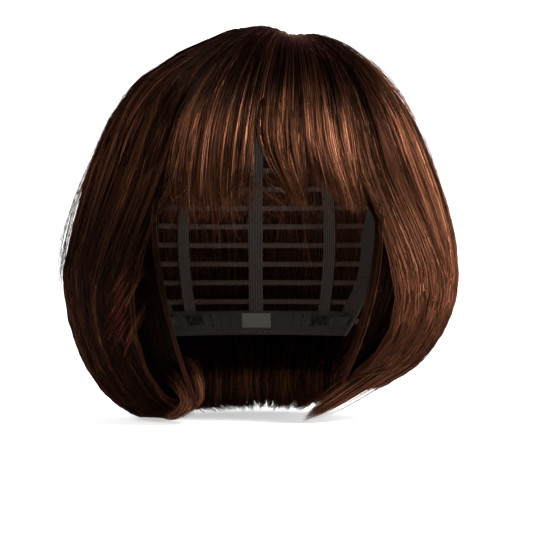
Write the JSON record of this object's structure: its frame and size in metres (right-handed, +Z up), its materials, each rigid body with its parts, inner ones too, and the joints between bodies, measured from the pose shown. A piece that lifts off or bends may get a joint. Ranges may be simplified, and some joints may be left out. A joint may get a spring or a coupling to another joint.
{
  "type": "costume wig",
  "caption": "Chin-length bob wig with a fringe and turned-under ends, on an open wefted cap with adjustable nape straps.",
  "frame": {"origin": "on the surface the hair tips stand on, under the middle of the wig's bounding box", "axes": "+Z up to the crown; the face opening looks along -Y, so +Y points to the back of the head; the wearer's left is +X"},
  "size_m": [0.236, 0.2435, 0.236],
  "materials": {
    "hair": "satin synthetic fibre, dark brown with reddish lights",
    "cap_cloth": "matte woven cloth, near black",
    "elastic": "ribbed elastic",
    "weft_tape": "stitched fibre track",
    "scalp_patch": "matte skin-toned cloth",
    "lining": "soft brushed lining",
    "label": "satin woven, blank",
    "stay": "matte covered strip",
    "tape": "woven twill",
    "strap": "ribbed elastic",
    "hook": "semi-gloss moulded"
  },
  "bodies": {
    "cap": {"back_hair": "hair", "back_side_hair_left": "hair", "back_side_hair_right": "hair", "crown_cap": "cap_cloth", "crown_hair": "hair", "crown_patch": "scalp_patch", "ear_arch_band_left": "cap_cloth", "ear_arch_band_right": "cap_cloth", "ear_stay_left": "stay", "ear_stay_right": "stay", "ear_tab_left": "cap_cloth", "ear_tab_right": "cap_cloth", "forehead_lining": "lining", "fringe": "hair", "front_band": "cap_cloth", "loop_tape_left": "tape", "loop_tape_right": "tape", "nape_band": "cap_cloth", "rib_01": "elastic", "rib_02": "elastic", "rib_03": "elastic", "rib_04": "elastic", "rib_05": "elastic", "rib_06": "elastic", "rib_07": "elastic", "rib_08": "elastic", "rib_09": "elastic", "side_hair_left": "hair", "side_hair_right": "hair", "size_label": "label", "strap_keeper_left": "tape", "strap_keeper_right": "tape", "tab_weft_left": "weft_tape", "tab_weft_right": "weft_tape", "tail_lock": "hair", "temple_hair_left": "hair", "temple_hair_right": "hair", "weft_01": "weft_tape", "weft_02": "weft_tape", "weft_03": "weft_tape", "weft_04": "weft_tape", "weft_05": "weft_tape", "weft_06": "weft_tape", "weft_07": "weft_tape", "weft_08": "weft_tape", "weft_09": "weft_tape", "weft_10": "weft_tape", "weft_11": "weft_tape", "weft_12": "weft_tape", "weft_13": "weft_tape"},
    "adjuster_left": {"adjuster_strap_left": "strap", "adjuster_hook_left": "hook"},
    "adjuster_right": {"adjuster_strap_right": "strap", "adjuster_hook_right": "hook"}
  },
  "joints": [
    {"name": "adjuster_left_slide", "type": "hinge", "parent": "cap", "child": "adjuster_left", "pos_m": [0, 0.01849, 0.057], "axis": [0, 0, 1], "range_deg": [0, 10]},
    {"name": "adjuster_right_slide", "type": "hinge", "parent": "cap", "child": "adjuster_right", "pos_m": [0, 0.01849, 0.057], "axis": [0, 0, -1], "range_deg": [0, 10]}
  ]
}
